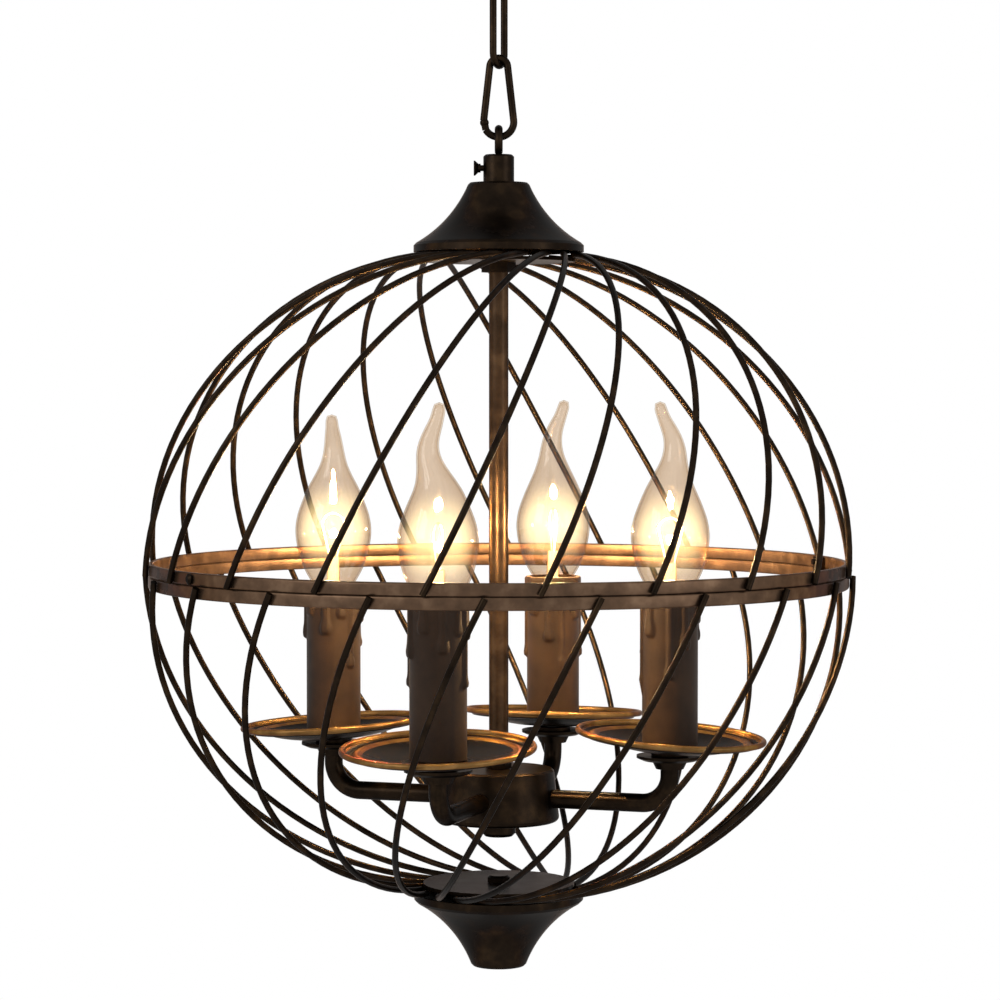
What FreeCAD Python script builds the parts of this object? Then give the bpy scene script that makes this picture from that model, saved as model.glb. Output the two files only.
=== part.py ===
import FreeCAD, Part
import os
import re
import math
import Sketcher

# Orb chandelier: a spherical cage of bent wires in two halves round a four-candle cluster.
# Frame: millimetres, +Z up, origin on the ceiling at the middle of the canopy.
# Heights below are counted from the ring plane, the joint between the two half cages.

SIZES = (
    # cage ribs: flat circular arcs of round wire, welded to the band's outer face
    ("rib_count", 21, "wires in each half"),
    ("rib_wire", 3.0, "wire diameter"),
    ("rib_radius", 155.0, "bend radius of the wire's centre line"),
    ("rib_lean", 27.5, "lean of the wire from upright where it leaves the band, degrees"),
    ("rib_turn", 14.6, "turn of the wire's plane out of the radial direction, degrees"),
    ("rib_sweep", 93.0, "arc of the bent wire, degrees"),
    ("rib_start", 0.6, "height of the wire's end above the ring plane"),
    ("rib_upper_phase", 6.0, "first upper wire, degrees from the front"),
    ("rib_lower_phase", -2.0, "first lower wire, degrees from the front"),
    ("weld_gap", 0.15, "gap left at a welded seat"),
    ("weld_sink", 0.4, "how far a ring is sunk into the collar it is cast with"),
    # bands
    ("band_radius", 172.5, "outer radius of both bands"),
    ("band_height", 6.0, "height of each band"),
    ("band_thickness", 2.6, "radial thickness"),
    ("band_round", 1.1, "rounding of the band's edges"),
    ("band_gap", 0.3, "dark joint between the bands"),
    # joint screws and tabs
    ("tab_width", 11.0, "tab width along the band"),
    ("tab_thickness", 2.0, "tab thickness"),
    ("tab_height", 10.6, "tab height across both bands"),
    ("tab_set", 1.0, "how much lower the tabs sit than the bands' edges"),
    ("screw_shank", 2.8, "joint screw diameter"),
    ("screw_length", 7.5, "joint screw length under the head"),
    ("screw_head", 5.2, "joint screw head diameter"),
    ("screw_head_height", 1.8, "joint screw head height"),
    ("screw_angle", -56.0, "first joint screw, degrees from the front"),
    ("screw_apart", 161.0, "degrees from the first joint screw to the second"),
    ("slide_gap", 0.1, "clearance of a shank or tube in its hole"),
    # centre rod
    ("rod_radius", 4.8, "centre tube"),
    ("rod_wall", 1.2, "wall of the centre tube"),
    # trumpet caps above and below
    ("plate_radius", 37.5, "rib plate radius"),
    ("plate_thickness", 1.6, "rib plate thickness"),
    ("cap_rim", 42.0, "rim radius of the trumpets"),
    ("cap_lip", 3.2, "upright lip height of the trumpets"),
    ("cap_shoulder", 1.4, "step in from the lip to the flare"),
    ("cap_top_radius", 15.2, "radius at the narrow end of the top cap"),
    ("cap_height", 34.0, "height of the top cap"),
    ("cap_flare", 61.0, "radius of the hollow flare"),
    ("cap_wall", 1.4, "wall of the trumpets"),
    ("cap_edge", 1.0, "bevel at the narrow end of the trumpets"),
    ("cup_end_radius", 13.8, "radius at the narrow end of the bottom cup"),
    ("cup_height", 36.5, "height of the bottom cup"),
    ("cup_floor", 3.0, "thickness of the bottom cup's end"),
    ("cup_boss_radius", 6.0, "threaded boss inside the bottom cup"),
    ("cup_boss_height", 9.0, "height of that boss above the floor"),
    ("cup_screw_radius", 2.5, "screw that holds the bottom cup"),
    ("cup_screw_head", 5.5, "head radius of that screw"),
    ("cup_screw_head_height", 3.4, "head height of that screw"),
    ("cup_screw_bevel", 1.0, "bevel of that head"),
    ("nut_height", 5.0, "cap nut height"),
    ("nut_radius", 8.5, "cap nut radius over its corners"),
    # collar, eye and thumb screw
    ("collar_radius", 7.6, "collar on the end of the rod"),
    ("collar_height", 13.8, "collar height"),
    ("collar_roof", 3.0, "solid top of the collar"),
    ("eye_radius", 5.5, "eye centre line radius"),
    ("eye_wire", 4.0, "eye thickness"),
    ("thumb_height", 7.2, "thumb screw axis above the collar's foot"),
    ("thumb_shank", 1.5, "thumb screw shank radius"),
    ("thumb_neck", 1.3, "length of shank showing beside the collar"),
    ("thumb_head", 3.7, "thumb screw head radius"),
    ("thumb_waist", 2.2, "radius in the middle of the flared head"),
    ("thumb_head_length", 3.4, "length of the flared head"),
    # suspension
    ("hang_gap", 0.15, "play between two links"),
    ("pear_wire", 3.6, "pear link wire"),
    ("pear_top", 4.4, "pear link upper bend"),
    ("pear_bottom", 7.4, "pear link lower bend"),
    ("pear_length", 26.9, "between the centres of its bends"),
    ("pear_opening", 38.0, "part of the lower bend that is left open, degrees"),
    ("pear_tail", 3.6, "length of the turned-out end"),
    ("pear_flare", 20.0, "how far that end is turned out, degrees"),
    ("pear_swell", 0.4, "how much thicker its rounded tip is, as a radius"),
    ("link_wire", 3.5, "chain link wire"),
    ("link_bend", 6.2, "chain link bend"),
    ("link_straight", 28.0, "chain link straight side"),
    ("loop_radius", 7.0, "ceiling loop centre line radius"),
    ("loop_wire", 4.0, "ceiling loop thickness"),
    ("loop_collar_radius", 8.0, "shoulder that carries the canopy"),
    ("loop_collar_height", 6.0, "shoulder height"),
    ("loop_stem", 4.0, "threaded stem radius"),
    ("canopy_radius", 50.0, "ceiling canopy"),
    ("canopy_height", 22.0, "canopy height"),
    ("canopy_edge", 6.0, "upright edge of the canopy"),
    ("canopy_dome", 62.0, "radius of the canopy's rounded side"),
    ("canopy_wall", 1.2, "canopy sheet"),
    ("bracket_length", 84.0, "ceiling bracket over its feet"),
    ("bracket_width", 18.0, "bracket strap width"),
    ("bracket_thickness", 2.0, "bracket strap thickness"),
    ("bracket_bridge", 44.0, "length of the lowered middle"),
    ("bracket_drop", 10.0, "drop of the middle below the ceiling"),
    ("bracket_hole_spacing", 66.0, "between the ceiling screw holes"),
    ("bracket_hole", 2.25, "ceiling screw hole radius"),
    ("stem_nut_radius", 7.5, "stem nut over its corners"),
    ("stem_nut_height", 4.0, "stem nut height"),
    # hub
    ("hub_top_height", -97.0, "top of the hub can"),
    ("hub_height", 26.0, "hub can height"),
    ("hub_top_radius", 27.4, "hub radius at the top"),
    ("hub_foot_radius", 30.0, "hub radius at the foot"),
    ("hub_round", 2.4, "rounded foot of the hub"),
    ("hub_wall", 1.6, "hub wall"),
    ("hub_bevel", 1.0, "bevel at the top of the hub"),
    ("hub_nut_radius", 6.4, "nut above the hub"),
    ("hub_nut_height", 2.6, "height of that nut"),
    ("nub_radius", 8.4, "nut below the hub"),
    ("nub_height", 7.6, "height of that nut"),
    ("nub_floor", 3.0, "solid end of that nut"),
    ("nub_round", 1.6, "bevel of that nut"),
    # arms
    ("arm_count", 4, "candles"),
    ("arm_angle", -18.8, "first arm, degrees from +X"),
    ("arm_reach", 88.0, "candle axis from the middle"),
    ("arm_radius", 4.55, "arm tube"),
    ("arm_wall", 0.9, "arm tube wall"),
    ("arm_height", -111.0, "arm axis height"),
    ("arm_bend", 14.0, "elbow bend"),
    ("arm_inside", 8.0, "arm length inside the hub wall"),
    ("arm_riser", 8.0, "upright end above the elbow"),
    # pan seats
    ("seat_foot_radius", 7.6, "foot of the pan seat"),
    ("seat_radius", 16.2, "pan seat radius"),
    ("seat_socket", 4.6, "depth of the socket on the arm"),
    ("seat_flange", 2.6, "thickness of the seat's edge"),
    ("seat_height", 8.2, "height of the pan seat"),
    ("seat_boss_radius", 9.0, "boss under the pan"),
    ("seat_boss_height", 1.5, "height of that boss"),
    ("seat_bevel", 0.8, "bevel at the foot of the pan seat"),
    ("seat_flare", 1.2, "widening of the foot under the flange"),
    # drip pans
    ("pan_tilt", 4.0, "outward tilt of the pans, degrees"),
    ("pan_floor", 17.0, "radius of the flat floor"),
    ("pan_slope_radius", 38.0, "outer edge of the bowl"),
    ("pan_slope_height", 4.6, "rise of the bowl"),
    ("pan_groove_radius", 41.0, "middle of the groove"),
    ("pan_groove_height", 4.2, "height of the groove"),
    ("pan_rim_radius", 45.2, "radius to the rolled rim"),
    ("pan_rim_height", 8.0, "height of the rolled rim"),
    ("pan_bead", 1.3, "rolled rim thickness, as a radius"),
    ("pan_sheet", 1.0, "pan sheet"),
    # lampholders and candle sleeves
    ("nipple_radius", 3.2, "threaded nipple under the lampholder"),
    ("nipple_wall", 0.9, "wall of the nipple"),
    ("holder_radius", 9.6, "lampholder radius"),
    ("holder_short", 3.2, "length of the screw base that stands out of the lampholder"),
    ("holder_floor", 3.0, "lampholder floor"),
    ("holder_ring", 10.4, "centring flange of the lampholder"),
    ("sleeve_radius", 12.2, "candle sleeve"),
    ("sleeve_wall", 1.5, "candle sleeve wall"),
    ("sleeve_height", 80.0, "candle sleeve height"),
    ("sleeve_lip", 0.6, "bevel at the sleeve's mouth"),
    # bulbs
    ("cap_shell", 6.9, "screw base radius"),
    ("base_length", 21.0, "screw base length"),
    ("base_tip", 2.6, "bottom contact radius"),
    ("base_contact", 1.2, "height of the bottom contact"),
    ("base_slope", 0.6, "slope of the contact"),
    ("base_insulator", 4.2, "height of the black insulator"),
    ("base_bevel", 0.4, "bevel at the foot of the screw shell"),
    ("base_shell_foot", 5.0, "height where the screw shell is full width"),
    ("base_play", 0.35, "bulb base in its holder"),
    ("glass_foot", 7.6, "glass radius on the base"),
    ("glass_neck", 9.8, "glass radius at the sleeve's mouth"),
    ("glass_wide", 18.4, "largest glass radius"),
    ("glass_wide_height", 27.5, "height of the widest place above the sleeve"),
    ("glass_tail_height", 62.0, "height where the bent tail begins"),
    ("glass_tail", 5.6, "tail radius where it begins"),
    ("glass_bend", 4.2, "sideways bend of the tail"),
    ("glass_height", 87.0, "glass above the sleeve"),
    ("glass_tip", 1.7, "radius at the tip"),
    ("glass_wall", 0.8, "glass wall"),
    ("glass_sunk", 7.0, "glass below the sleeve's mouth"),
    ("bulb_turn_1", 18.8, "which way the first bulb's tail bends, degrees from its arm"),
    ("bulb_turn_2", 108.8, "second bulb"),
    ("bulb_turn_3", -71.2, "third bulb"),
    ("bulb_turn_4", -71.2, "fourth bulb"),
    ("stem_radius", 3.4, "glass stem inside the bulb"),
    ("stem_height", 16.0, "glass stem height"),
    ("filament_rise", 16.0, "support above the stem"),
    ("filament_radius", 6.0, "filament bow radius"),
    ("filament_wire", 0.5, "filament and support wire radius"),
)

doc = FreeCAD.newDocument("orb_chandelier")
sheet = doc.addObject("Spreadsheet::Sheet", "Sizes")
for row, (alias, value, note) in enumerate(SIZES, 1):
    sheet.set(f"A{row}", note)
    sheet.set(f"B{row}", str(value))
    sheet.setAlias(f"B{row}", alias)
doc.recompute()

ALIASES = re.compile(r"\b(" + "|".join(alias for alias, value, note in SIZES) + r")\b")
NODES = []


def bound(text):
    """An expression in sizes, as FreeCAD reads it."""
    return ALIASES.sub(r"Sizes.\1", str(text))


def number(text):
    """The value of an expression in sizes."""
    return float(sheet.evalExpression(bound(text)))


def move(x=0, y=0, z=0):
    return f"placement(vector({x}; {y}; {z}); rotation(vector(0; 0; 1); 0))"


def turn(axis, angle):
    return f"placement(vector(0; 0; 0); rotation(vector({axis}); {angle}))"


X = "1; 0; 0"
Y = "0; 1; 0"
Z = "0; 0; 1"


def place(thing, steps):
    thing.setExpression("Placement", bound(" * ".join(steps)))


def solid(kind, label, sizes, steps):
    """A Part primitive bound to the sheet."""
    thing = doc.addObject("Part::" + kind, label)
    for name, text in sizes.items():
        thing.setExpression(name, bound(text))
    place(thing, steps)
    return thing


def cylinder(label, radius, height, steps):
    return solid("Cylinder", label, {"Radius": radius, "Height": height}, steps)


def box(label, length, width, height, steps):
    """A box centred on its placement in X and Y."""
    sizes = {"Length": length, "Width": width, "Height": height}
    return solid("Box", label, sizes, steps + [move(f"-({length})/2", f"-({width})/2", 0)])


def arc_rod(label, bend, radius, sweep, steps):
    """A round bar bent from +X towards +Y about its own Z axis."""
    return solid("Torus", label, {"Radius1": bend, "Radius2": radius, "Angle3": sweep}, steps)


def ball(label, radius, steps):
    return solid("Sphere", label, {"Radius": radius}, steps)


def fuse(label, pieces):
    thing = doc.addObject("Part::MultiFuse", label)
    thing.Shapes = pieces
    thing.Refine = True
    return thing


def cut(label, base, tool):
    thing = doc.addObject("Part::Cut", label)
    thing.Base = base
    thing.Tool = tool
    return thing


def group(label, pieces):
    thing = doc.addObject("Part::Compound", label)
    thing.Links = pieces
    return thing


def node(thing, label):
    """Marks a finished sub-part; its label names its file."""
    thing.Label = label
    NODES.append(thing)
    return thing


def outline_edge(start, end, bend):
    """A straight edge, or an arc of radius |bend| that passes left or right of the chord."""
    first = FreeCAD.Vector(start[0], start[1], 0)
    last = FreeCAD.Vector(end[0], end[1], 0)
    if not bend:
        return Part.LineSegment(first, last)
    chord = last - first
    half = chord.Length / 2
    side = FreeCAD.Vector(-chord.y, chord.x, 0).normalize()
    sagitta = abs(bend) - math.sqrt(bend * bend - half * half)
    middle = (first + last) * 0.5 - side * math.copysign(sagitta, bend)
    return Part.Arc(first, middle, last)


def turned(label, corners, steps):
    """A body turned about its own Z axis from an outline of (radius, height, bend) corners.
    The bend belongs to the edge that leaves the corner: 0 is straight, a positive radius
    turns left and a negative one turns right."""
    body = doc.addObject("PartDesign::Body", label)
    sketch = body.newObject("Sketcher::SketchObject", label + "_outline")
    plane = [one for one in body.Origin.OriginFeatures if one.Role == "XZ_Plane"][0]
    sketch.AttachmentSupport = [(plane, "")]
    sketch.MapMode = "FlatFace"
    count = len(corners)
    points = [(number(radius), number(height)) for radius, height, bend in corners]
    bends = [number(bend) for radius, height, bend in corners]
    for index in range(count):
        end = points[(index + 1) % count]
        sketch.addGeometry(outline_edge(points[index], end, bends[index]), False)
    for index, (radius, height, bend) in enumerate(corners):
        after = (index + 1) % count
        start_end = 2 if bends[index] < 0 else 1
        this_end = 3 - start_end
        next_start = 2 if bends[after] < 0 else 1
        sketch.addConstraint(Sketcher.Constraint("Coincident", index, this_end, after, next_start))
        if str(radius) == "0":
            sketch.addConstraint(Sketcher.Constraint("PointOnObject", index, start_end, -2))
        else:
            rule = Sketcher.Constraint("DistanceX", -1, 1, index, start_end, points[index][0])
            sketch.setExpression(f"Constraints[{sketch.addConstraint(rule)}]", bound(radius))
        rule = Sketcher.Constraint("DistanceY", -1, 1, index, start_end, points[index][1])
        sketch.setExpression(f"Constraints[{sketch.addConstraint(rule)}]", bound(height))
        if bends[index]:
            rule = Sketcher.Constraint("Radius", index, abs(bends[index]))
            sketch.setExpression(f"Constraints[{sketch.addConstraint(rule)}]", bound(f"abs({bend})"))
    spin = body.newObject("PartDesign::Revolution", label + "_turning")
    spin.Profile = sketch
    spin.ReferenceAxis = (sketch, ["V_Axis"])
    spin.Angle = 360
    body.Tip = spin
    place(body, steps)
    return body


# Heights in the lamp, counted from the ring plane
RIB_TOP = ("(rib_start + rib_radius * ((1 - cos(rib_sweep)) * sin(rib_turn) * sin(rib_lean)"
           " + sin(rib_sweep) * cos(rib_lean)))")
PLATE_TOP = f"({RIB_TOP} - rib_wire / 2 - weld_gap)"
CAP_RIM = f"({RIB_TOP} + rib_wire / 2 + weld_gap)"
CAP_TOP = f"({CAP_RIM} + cap_height)"
COLLAR_TOP = f"({CAP_TOP} + collar_height)"
EYE_CENTRE = f"({COLLAR_TOP} + eye_radius + eye_wire / 2 - weld_sink)"
LAMP_HINGE = f"({EYE_CENTRE} + eye_radius - eye_wire / 2 - hang_gap - pear_wire / 2)"
PEAR_LOW = f"({LAMP_HINGE} + pear_bottom)"
PEAR_HIGH = f"({PEAR_LOW} + pear_length)"
PEAR_HINGE = f"({PEAR_HIGH} + pear_top - pear_wire / 2 - hang_gap - link_wire / 2)"
LINK_LOW = f"({PEAR_HINGE} + link_bend)"
LINK_HIGH = f"({LINK_LOW} + link_straight)"
LINK_HINGE = f"({LINK_HIGH} + link_bend - link_wire / 2 - hang_gap - loop_wire / 2)"
LOOP_CENTRE = f"({LINK_HINGE} + loop_radius)"
LOOP_TOP = f"({LOOP_CENTRE} + loop_radius + loop_wire / 2 - weld_sink)"
CANOPY_FOOT = f"({LOOP_TOP} + loop_collar_height)"
CEILING = f"({CANOPY_FOOT} + canopy_height)"
LAMP = [move(0, 0, f"-{CEILING}")]


def lift(height):
    return LAMP + [move(0, 0, height)]


def flare(label, rim, length, end_radius, bore, floor, boss_radius, boss_height, steps):
    """A trumpet from a lipped rim at height 0 to a narrow flat end, with a hole in that end."""
    inner_rim = f"{rim} - cap_wall"
    inner_end = f"{end_radius} - cap_wall"
    corners = [
        (rim, "0", 0),
        (rim, "cap_lip", 0),
        (f"{rim} - cap_shoulder", "cap_lip + cap_shoulder", "-cap_flare"),
        (end_radius, f"{length} - cap_edge", 0),
        (f"{end_radius} - cap_edge", length, 0),
        (bore, length, 0),
    ]
    if boss_radius:
        corners += [
            (bore, f"{length} - {floor} - {boss_height}", 0),
            (boss_radius, f"{length} - {floor} - {boss_height}", 0),
            (boss_radius, f"{length} - {floor}", 0),
        ]
    else:
        corners.append((bore, f"{length} - {floor}", 0))
    corners += [
        (inner_end, f"{length} - {floor}", "cap_flare"),
        (f"{inner_rim} - cap_shoulder", "cap_lip", 0),
        (inner_rim, "cap_lip - cap_shoulder / 2", 0),
        (inner_rim, "0", 0),
    ]
    return node(turned(label, corners, steps), label)


def rib_steps(upper, index):
    """The rib leaves the band at the front, leans over, and is then turned round the lamp."""
    phase = "rib_upper_phase" if upper else "rib_lower_phase"
    steps = LAMP + [turn(Z, f"{phase} + {index} * 360 / rib_count")]
    if not upper:
        steps.append(turn(Y, 180))
    return steps + [
        move(0, "-(band_radius + rib_wire / 2 + weld_gap)", "rib_start"),
        turn(Y, "rib_lean"),
        turn(Z, "rib_turn - 90"),
        turn(X, 90),
        move("-rib_radius", 0, 0),
    ]


def ribs(label, upper):
    wires = []
    for index in range(int(number("rib_count"))):
        name = f"{label}_{index + 1}"
        wires.append(arc_rod(name, "rib_radius", "rib_wire / 2", "rib_sweep", rib_steps(upper, index)))
    return node(group(label, wires), label)


def screw_axis(index, height):
    """X points outwards through the bands at a joint screw."""
    return lift(height) + [turn(Z, f"screw_angle + {index} * screw_apart - 90")]


def band(label, upper):
    """A flat band with rounded edges; the upper one is drilled for the joint screws."""
    foot = "band_gap / 2" if upper else "-(band_gap / 2 + band_height)"
    inner = "band_radius - band_thickness"
    corners = [
        ("band_radius", "band_round", 0),
        ("band_radius", "band_height - band_round", "band_round"),
        ("band_radius - band_round", "band_height", 0),
        (f"{inner} + band_round", "band_height", "band_round"),
        (inner, "band_height - band_round", 0),
        (inner, "band_round", "band_round"),
        (f"{inner} + band_round", "0", 0),
        ("band_radius - band_round", "0", "band_round"),
    ]
    if not upper:
        return node(turned(label, corners, lift(foot)), label)
    strip = turned(label + "_strip", corners, lift(foot))
    holes = []
    for index in range(2):
        steps = screw_axis(index, "(band_gap + band_height) / 2") + [turn(Y, 90)]
        steps.append(move(0, 0, f"{inner} - band_thickness"))
        holes.append(cylinder(f"band_hole_{index + 1}", "screw_shank / 2 + slide_gap",
                              "3 * band_thickness", steps))
    return node(cut(label, strip, fuse("band_holes", holes)), label)


def tabs():
    """Two tabs fixed inside the lower band that the joint screws bite into."""
    pieces = []
    for index in range(2):
        steps = screw_axis(index, "(band_gap + band_height) / 2")
        face = "sqrt((band_radius - band_thickness - weld_gap) ^ 2 - tab_width ^ 2 / 4)"
        centre = f"({face} - tab_thickness / 2)"
        plate = box(f"tab_plate_{index + 1}", "tab_thickness", "tab_width", "tab_height",
                    steps + [move(centre, 0, "(band_height - tab_set) / 2 - tab_height")])
        hole = cylinder(f"tab_hole_{index + 1}", "screw_shank / 2 + slide_gap", "2 * tab_thickness",
                        steps + [turn(Y, 90), move(0, 0, f"{face} - 1.5 * tab_thickness")])
        pieces.append(cut(f"tab_{index + 1}", plate, hole))
    return node(group("joint_tabs", pieces), "joint_tabs")


def joint_screws():
    pieces = []
    for index in range(2):
        corners = [
            ("0", "-screw_length", 0),
            ("screw_shank / 2", "-screw_length", 0),
            ("screw_shank / 2", "weld_gap", 0),
            ("screw_head / 2", "weld_gap", 0),
            ("screw_head / 2", "weld_gap + screw_head_height / 2", 0),
            ("screw_head / 4", "weld_gap + screw_head_height", 0),
            ("0", "weld_gap + screw_head_height", 0),
        ]
        steps = screw_axis(index, "(band_gap + band_height) / 2")
        steps += [turn(Y, 90), move(0, 0, "band_radius")]
        pieces.append(turned(f"joint_screw_{index + 1}", corners, steps))
    return node(group("joint_screws", pieces), "joint_screws")


def disc(label, radius, bore, thickness, steps):
    corners = [
        (bore, "0", 0),
        (radius, "0", 0),
        (radius, thickness, 0),
        (bore, thickness, 0),
    ]
    return node(turned(label, corners, steps), label)


def hex_nut(label, radius, height, bore, steps):
    """A six-sided nut; the radius is over its corners."""
    blank = solid("Prism", label + "_blank", {"Circumradius": radius, "Height": height}, steps)
    blank.Polygon = 6
    hole = cylinder(label + "_bore", bore, f"{height} + 2", steps + [move(0, 0, -1)])
    return node(cut(label, blank, hole), label)


def centre_rod():
    """The tube that carries the hub, from the nut below it up into the collar."""
    foot = "(hub_top_height - hub_height - nub_height + nub_floor)"
    length = f"({COLLAR_TOP} - collar_roof - weld_gap - {foot})"
    corners = [
        ("rod_radius - rod_wall", "0", 0),
        ("rod_radius", "0", 0),
        ("rod_radius", length, 0),
        ("rod_radius - rod_wall", length, 0),
    ]
    return node(turned("centre_rod", corners, lift(foot)), "centre_rod")


def hanging_eye():
    """A collar over the end of the rod with the eye on top and the thumb screw's hole."""
    corners = [
        ("rod_radius + slide_gap", "0", 0),
        ("collar_radius", "0", 0),
        ("collar_radius", "collar_height - 1", 0),
        ("collar_radius - 1", "collar_height", 0),
        ("0", "collar_height", 0),
        ("0", "collar_height - collar_roof", 0),
        ("rod_radius + slide_gap", "collar_height - collar_roof", 0),
    ]
    collar = turned("eye_collar", corners, lift(CAP_TOP))
    steps = lift(f"{CAP_TOP} + thumb_height") + [turn(Y, -90)]
    hole = cylinder("eye_screw_hole", "thumb_shank + slide_gap", "collar_radius + 2", steps)
    drilled = cut("eye_collar_drilled", collar, hole)
    ring = arc_rod("eye_ring", "eye_radius", "eye_wire / 2", 360, lift(EYE_CENTRE) + [turn(Y, 90)])
    return node(fuse("hanging_eye", [drilled, ring]), "hanging_eye")


def thumb_screw():
    """A flared thumb screw that points at the rod from the left."""
    head = "collar_radius + thumb_neck"
    corners = [
        ("0", "rod_radius + weld_gap", 0),
        ("thumb_shank", "rod_radius + weld_gap", 0),
        ("thumb_shank", head, 0),
        ("thumb_waist", head, 0),
        ("thumb_waist", f"{head} + thumb_head_length / 3", 0),
        ("thumb_head", f"{head} + thumb_head_length * 0.8", 0),
        ("thumb_head", f"{head} + thumb_head_length", 0),
        ("0", f"{head} + thumb_head_length", 0),
    ]
    steps = lift(f"{CAP_TOP} + thumb_height") + [turn(Y, -90)]
    return node(turned("thumb_screw", corners, steps), "thumb_screw")


def pear_link():
    """A pear of bent wire, open at the lower left, where its end is turned out."""
    slope = "(asin((pear_bottom - pear_top) / pear_length) / 1 deg)"
    side = "sqrt(pear_length ^ 2 - (pear_bottom - pear_top) ^ 2)"
    wire = "pear_wire / 2"
    flat = [turn(X, 90)]
    over = arc_rod("pear_over", "pear_top", wire, f"180 - 2 * {slope}",
                   lift(PEAR_HIGH) + flat + [turn(Z, slope)])
    legs = []
    for name, hand in (("right", 1), ("left", -1)):
        steps = lift(PEAR_LOW) + [turn(Y, f"{hand} * (0 - {slope})"), move(f"{hand} * pear_bottom", 0, 0)]
        legs.append(cylinder(f"pear_leg_{name}", wire, side, steps))
    sweep = f"(180 + 2 * {slope} - pear_opening)"
    opening = lift(PEAR_LOW) + flat + [turn(Z, f"{slope} - {sweep}")]
    under = arc_rod("pear_under", "pear_bottom", wire, sweep, opening)
    tail_start = opening + [move("pear_bottom", 0, 0), turn(Z, "-pear_flare")]
    tail = cylinder("pear_tail_bar", wire, "pear_tail", tail_start + [turn(X, 90)])
    tip = ball("pear_tail_tip", "pear_wire / 2 + pear_swell",
               tail_start + [move(0, "-pear_tail", 0)])
    return node(fuse("pear_link", [over, legs[0], legs[1], under, tail, tip]), "pear_link")


def chain_link():
    wire = "link_wire / 2"
    flat = [turn(Z, 90), turn(X, 90)]
    top = arc_rod("link_over", "link_bend", wire, 180, lift(LINK_HIGH) + flat)
    low = arc_rod("link_under", "link_bend", wire, 180, lift(LINK_LOW) + flat + [turn(Z, 180)])
    sides = []
    for name, hand in (("near", -1), ("far", 1)):
        steps = lift(LINK_LOW) + [move(0, f"{hand} * link_bend", 0)]
        sides.append(cylinder(f"link_side_{name}", wire, "link_straight", steps))
    return node(fuse("chain_link", [top, low] + sides), "chain_link")


def ceiling_loop():
    """The loop under the canopy, with the threaded stem that goes up through the bracket."""
    ring = arc_rod("loop_ring", "loop_radius", "loop_wire / 2", 360, lift(LOOP_CENTRE) + [turn(X, 90)])
    collar = cylinder("loop_collar", "loop_collar_radius", "loop_collar_height", lift(LOOP_TOP))
    length = "canopy_height - bracket_drop + bracket_thickness + stem_nut_height + 2"
    stem = cylinder("loop_stem_bar", "loop_stem", length, lift(CANOPY_FOOT))
    return node(fuse("ceiling_loop", [ring, collar, stem]), "ceiling_loop")


def ceiling_canopy():
    """A shallow dish of sheet with its open side on the ceiling."""
    foot = "loop_collar_radius + 4"
    height = "canopy_height - weld_gap"
    corners = [
        ("loop_stem + slide_gap", "weld_gap", 0),
        (foot, "weld_gap", "canopy_dome"),
        ("canopy_radius", "canopy_height - canopy_edge", 0),
        ("canopy_radius", height, 0),
        ("canopy_radius - canopy_wall", height, 0),
        ("canopy_radius - canopy_wall", "canopy_height - canopy_edge", "-(canopy_dome - canopy_wall)"),
        (foot, "weld_gap + canopy_wall", 0),
        ("loop_stem + slide_gap", "weld_gap + canopy_wall", 0),
    ]
    return node(turned("ceiling_canopy", corners, lift(CANOPY_FOOT)), "ceiling_canopy")


def ceiling_bracket():
    """A strap with a lowered middle; its feet lie on the ceiling and take the screws."""
    thick = "bracket_thickness"
    middle = box("bracket_middle", "bracket_bridge", "bracket_width", thick,
                 [move(0, 0, "-bracket_drop")])
    pieces = [middle]
    holes = [cylinder("bracket_stem_hole", "loop_stem + slide_gap", f"3 * {thick}",
                      [move(0, 0, f"-bracket_drop - {thick}")])]
    foot_length = "(bracket_length - bracket_bridge) / 2 + bracket_thickness"
    for name, hand in (("left", -1), ("right", 1)):
        centre = f"{hand} * (bracket_length / 2 - ({foot_length}) / 2)"
        pieces.append(box(f"bracket_foot_{name}", foot_length, "bracket_width", thick,
                          [move(centre, 0, f"-{thick}")]))
        pieces.append(box(f"bracket_leg_{name}", thick, "bracket_width", "bracket_drop",
                          [move(f"{hand} * (bracket_bridge - {thick}) / 2", 0, "-bracket_drop")]))
        holes.append(cylinder(f"bracket_hole_{name}", "bracket_hole", f"3 * {thick}",
                              [move(f"{hand} * bracket_hole_spacing / 2", 0, f"-2 * {thick}")]))
    strap = fuse("bracket_strap", pieces)
    return node(cut("ceiling_bracket", strap, fuse("bracket_holes", holes)), "ceiling_bracket")


def arm_frame(index):
    """+X points outwards along arm number index."""
    return LAMP + [turn(Z, f"arm_angle + {index} * 360 / arm_count")]


def arm_bar(label, radius, index, extra):
    """The tube's path: outwards from the hub, round the elbow and up to the pan seat."""
    start = "(hub_foot_radius - arm_inside)"
    run = f"(arm_reach - arm_bend - {start})"
    frame = arm_frame(index) + [move(0, 0, "arm_height")]
    level = cylinder(f"{label}_level", radius, f"{run} + {extra}",
                     frame + [move(f"{start} - {extra}", 0, 0), turn(Y, 90)])
    elbow = arc_rod(f"{label}_elbow", "arm_bend", radius, 90,
                    frame + [move("arm_reach - arm_bend", 0, "arm_bend"), turn(X, 90), turn(Z, -90)])
    riser = cylinder(f"{label}_riser", radius, f"arm_riser + {extra}",
                     frame + [move("arm_reach", 0, "arm_bend")])
    return fuse(label, [level, elbow, riser])


def arm(index):
    label = f"arm_{index + 1}"
    outer = arm_bar(label + "_tube", "arm_radius", index, 0)
    inner = arm_bar(label + "_bore", "arm_radius - arm_wall", index, 1)
    return node(cut(label, outer, inner), label)


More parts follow.
